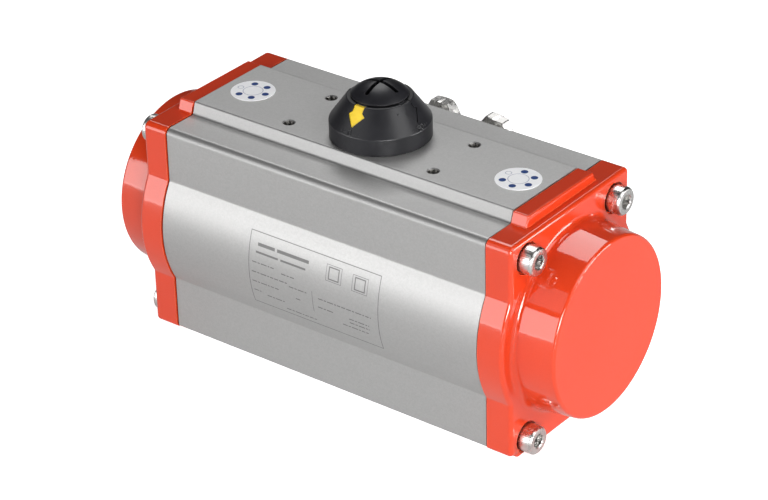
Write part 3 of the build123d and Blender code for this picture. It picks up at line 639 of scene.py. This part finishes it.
# ------------------------------------------------------------------ threads inside the tapped holes
def thread_liner(name, spots, r, pitch, depth, length, slot="anodised_body", lead=0.45):
    """Ridges standing in from the wall of each tapped hole. spots: (mouth point in mm, outward axis)."""
    bm = bmesh.new()
    for p, ax in spots:
        rings = helix_thread_rings(r - 0.01, depth, pitch, -length, -lead, n=40, fade=0.8)
        back = [[Vector((q.x, q.y, q.z)) for q in ring] for ring in rings]
        rings = [[q * MM for q in ring] for ring in back]
        grid_surface(bm, place(rings, Vector(p) * MM, ax))
        # outer skin a hair inside the hole wall closes the liner
        outer = [[Vector((q.x, q.y, q.z)).normalized() for q in ring] for ring in rings]
        z0, z1 = -length, -lead
        skin = []
        for z in (z1, z0):
            skin.append([Vector(((r - 0.008) * math.cos(2 * math.pi * j / 40), (r - 0.008) * math.sin(2 * math.pi * j / 40), z)) * MM for j in range(40)])
        grid_surface(bm, place(skin, Vector(p) * MM, ax))
    bmesh.ops.remove_doubles(bm, verts=bm.verts, dist=0.00002)
    ob = obj_from_bm(bm, name, slot, "housing", 50.0)
    # painted shade: the liners take the dark thread material
    ob.data.materials[0] = THREAD_SHADE.m
    return ob


lo_b, hi_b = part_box("body")
TOPZ = hi_b.z / MM
LANDY = hi_b.y / MM
thread_liner("accessory_hole_threads", [((x, y, TOPZ), (0, 0, 1)) for x in (40, -40) for y in (15, -15)], 2.5, 0.8, 0.42, 9.4)
thread_liner("solenoid_hole_threads", [((x, LANDY, 54.5 + t), (0, 1, 0)) for x in (12, -12) for t in (16, -16)], 2.5, 0.8, 0.42, 7.2)
thread_liner("air_port_threads", [((x, LANDY, 54.5), (0, 1, 0)) for x in (12, -12)], 6.58, 1.337, 0.75, 5.7, lead=0.7)
S = math.sqrt(0.5)
thread_liner("valve_hole_threads_small", [((25 * S * a, 25 * S * b, 0), (0, 0, -1)) for a in (1, -1) for b in (1, -1)], 3.0, 1.0, 0.5, 8.6)
thread_liner("valve_hole_threads_large", [((35 * S * a, 35 * S * b, 0), (0, 0, -1)) for a in (1, -1) for b in (1, -1)], 4.0, 1.25, 0.62, 12.0)

# ------------------------------------------------------------------ raised dial figures on the indicator cone
ilo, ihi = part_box("indicator_housing")
IR0 = (ihi.x - ilo.x) / 2 / MM
IZ2 = ihi.z / MM
IZ1, IR1 = IZ2 - 11.2, 14.8
ISL = math.hypot(IR1 - IR0, IZ2 - IZ1)


def on_cone(az, u, sl, lift=0.0):
    """Point u across and sl up the slope from the cone's foot, at heading az, standing lift off the surface."""
    r = IR0 + (IR1 - IR0) * sl / ISL
    a = az + u / r
    nr, nz = (IZ2 - IZ1) / ISL, (IR0 - IR1) / ISL
    r += lift * nr
    return Vector((r * math.cos(a), r * math.sin(a), IZ1 + (IZ2 - IZ1) * sl / ISL + lift * nz)) * MM


def cone_stroke(bm, az, pts, closed=False, rad=0.30):
    """A moulded bead with a rounded top that follows pts = [(u, slope)]."""
    n = len(pts)
    rings = []
    for i, (u, sl) in enumerate(pts):
        pu, ps = pts[(i - 1) % n] if closed or i > 0 else pts[i]
        qu, qs = pts[(i + 1) % n] if closed or i < n - 1 else pts[i]
        tu, ts = qu - pu, qs - ps
        k = math.hypot(tu, ts) or 1.0
        au, as_ = -ts / k, tu / k
        ring = []
        for q in range(8):
            a = 2 * math.pi * q / 8
            ring.append(on_cone(az, u + au * rad * math.cos(a), sl + as_ * rad * math.cos(a), rad * 0.95 * math.sin(a) + 0.02))
        rings.append(ring)
    if closed:
        rings.append(rings[0])
    grid_surface(bm, rings, cap0=not closed, cap1=not closed)


def figure_zero(cx, cy, w=0.86, h=1.16):
    return [(cx + w * math.cos(2 * math.pi * i / 20), cy + h * math.sin(2 * math.pi * i / 20)) for i in range(20)], True


def figure_nine(cx, cy):
    pts = [(cx + 0.66 * math.cos(a), cy + 0.42 + 0.58 * math.sin(a)) for a in [2 * math.pi * i / 16 for i in range(17)]]
    tail = [(cx + 0.66, cy + 0.30), (cx + 0.62, cy - 0.24), (cx + 0.42, cy - 0.72), (cx + 0.02, cy - 1.00), (cx - 0.36, cy - 1.02)]
    return pts + tail, False


bm = bmesh.new()
for az_deg, figs in ((-90, [figure_zero(0.0, 1.75)]), (90, [figure_zero(0.0, 1.75)]),
                     (0, [figure_nine(-0.95, 1.75), figure_zero(0.95, 1.75)]), (180, [figure_nine(-0.95, 1.75), figure_zero(0.95, 1.75)])):
    azr = math.radians(az_deg)
    for pts, closed in figs:
        cone_stroke(bm, azr, pts, closed)
    # a short tick each side of the figure
    for sg in (-1, 1):
        for uu in (3.4, 4.9):
            cone_stroke(bm, azr, [(sg * uu, 1.1), (sg * uu, 1.5), (sg * uu, 2.1 if uu < 4 else 1.8)], False, 0.14)
# ejector mark
cone_stroke(bm, math.radians(-24.7), [(0.28 * math.cos(2 * math.pi * i / 12), 10.3 + 0.28 * math.sin(2 * math.pi * i / 12)) for i in range(12)], True, 0.2)
bmesh.ops.remove_doubles(bm, verts=bm.verts, dist=0.000005)
obj_from_bm(bm, "indicator_figures", "indicator_black", "shaft_group", 40.0)

# ------------------------------------------------------------------ return springs
for side, sg in (("right", 1.0), ("left", -1.0)):
    lo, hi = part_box("springs_" + side)
    xa, xb = (lo.x, hi.x) if sg > 0 else (hi.x, lo.x)      # piston end, cap end
    bm = bmesh.new()
    for kk in range(6):
        a0 = math.radians(30 + 60 * kk)
        cy, cz = 26.0 * MM * math.cos(a0) * sg, 54.5 * MM + 26.0 * MM * math.sin(a0)
        wire = 1.15 * MM
        Rm = 8.3 * MM
        turns, per = 9.0, 30
        total = int(turns * per)
        L = abs(xb - xa)
        rings = []
        for i in range(total + 1):
            t = i / total
            tr = t * turns
            # closed end coils: the first and last turn lie flat
            dead = 1.0
            pz = wire + (L - 2 * wire) * min(1.0, max(0.0, (tr - 0.75 * dead) / (turns - 1.5 * dead)))
            if tr < 0.75:
                pz = wire + wire * 1.2 * tr / 0.75
            elif tr > turns - 0.75:
                pz = L - wire - wire * 1.2 * (turns - tr) / 0.75
            else:
                u = (tr - 0.75) / (turns - 1.5)
                pz = wire * 2.2 + (L - 4.4 * wire) * u
            a = 2 * math.pi * tr
            c = Vector((xa + sg * pz, cy + Rm * math.cos(a), cz + Rm * math.sin(a)))
            tang = Vector((sg * L / turns / (2 * math.pi * Rm), -math.sin(a), math.cos(a))).normalized()
            rad = Vector((0, math.cos(a), math.sin(a)))
            bi = tang.cross(rad).normalized()
            rings.append([c + wire * (rad * math.cos(q * math.pi / 5) + bi * math.sin(q * math.pi / 5)) for q in range(10)])
        grid_surface(bm, rings, cap0=True, cap1=True)
    ob = obj_from_bm(bm, "springs_%s_coils" % side, "spring_steel", "housing", 60.0)
    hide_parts("springs_" + side)
    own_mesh(ob)

# ------------------------------------------------------------------ stage, lights, camera
def softbox(name, az, el, dist, w, h, radiance, target=(0, 0, 0.055), color=(1, 1, 1)):
    a, e = math.radians(az), math.radians(el)
    d = Vector((math.sin(a) * math.cos(e), -math.cos(a) * math.cos(e), math.sin(e)))
    la = bpy.data.lights.new(name, "AREA")
    la.shape = "RECTANGLE"
    la.size, la.size_y = w, h
    la.energy = radiance * math.pi * w * h
    la.color = color
    ob = bpy.data.objects.new(name, la)
    SC.collection.objects.link(ob)
    ob.location = Vector(target) + d * dist
    ob.rotation_euler = (-d).to_track_quat("-Z", "Y").to_euler()
    return ob


LIGHT = {"back": 3.7, "front": 3.8, "fhigh": 0.8, "right": 2.6, "rlow": 9.5, "top": 0.02, "near": 18.8, "nhigh": 0.05, "world": 0.01, "floor": 0.40}
PLACED = {
    "back": (-141, 55, 2.60, 1.24, 1.64),
    "front": (-28, 8, 1.30, 1.30, 0.82),
    "fhigh": (-20, 42, 1.50, 1.20, 0.60),
    "right": (95, 38, 1.30, 0.80, 0.80),
    "rlow": (118, 6, 1.50, 0.80, 0.50),
    "top": (0, 90, 2.00, 2.20, 2.20),
    "near": (52, 12, 1.15, 0.52, 0.34),
    "nhigh": (45, 48, 2.00, 0.90, 0.90),
}
for key, (laz, lel, ld, lw, lh) in PLACED.items():
    if LIGHT[key] > 0:
        softbox("softbox_" + key, laz, lel, ld, lw, lh, LIGHT[key])

w = bpy.data.worlds.new("studio")
SC.world = w
w.use_nodes = True
w.node_tree.nodes["Background"].inputs[0].default_value = (0.92, 0.94, 1.0, 1.0)
w.node_tree.nodes["Background"].inputs[1].default_value = LIGHT["world"]



def stage_plane(name, size, z, albedo, glow):
    me = bpy.data.meshes.new(name)
    bm = bmesh.new()
    bmesh.ops.create_grid(bm, x_segments=1, y_segments=1, size=size)
    bm.to_mesh(me)
    bm.free()
    ob = bpy.data.objects.new(name, me)
    ob.location = (0, 0, z)
    SC.collection.objects.link(ob)
    fm = Mat(name + "_white")
    fm.set(rough=0.6, spec=0.2)
    fm.base(fm.ramp(fm.noise(3.0, 2.0, 0.5), [(0.3, (albedo,) * 3), (0.7, (albedo + 0.02,) * 3)]))
    fm.b.inputs["Emission Color"].default_value = (1, 1, 1, 1)
    fm.b.inputs["Emission Strength"].default_value = glow
    me.materials.append(fm.m)
    return ob


# the white sweep that the camera sees, and a greyer table just under it that lights the part from below
floor = stage_plane("floor", 6.0, 0.0, 0.80, 0.80)
floor.visible_diffuse = False
floor.visible_glossy = False
table = stage_plane("table", 6.0, -0.0006, 0.55, LIGHT["floor"])
table.visible_camera = False

cam = bpy.data.cameras.new("camera")
cam.lens = 139.75
cam.sensor_width = 36.0
cam.clip_start, cam.clip_end = 0.05, 20.0
co = bpy.data.objects.new("camera", cam)
SC.collection.objects.link(co)
az, el, roll, dist = math.radians(38.464), math.radians(29.232), math.radians(-1.473), 1.34042
tgt = Vector((0, 0, 0.049845 + 0.0029))
back = Vector((math.sin(az) * math.cos(el), -math.cos(az) * math.cos(el), math.sin(el)))
right = Vector((0, 0, 1)).cross(back).normalized()
up = back.cross(right)
r2 = right * math.cos(roll) + up * math.sin(roll)
u2 = up * math.cos(roll) - right * math.sin(roll)
M = Matrix((r2, u2, back)).transposed().to_4x4()
M.translation = tgt + back * dist
co.matrix_world = M
SC.camera = co
SC.view_settings.view_transform = "Standard"
SC.view_settings.look = "None"
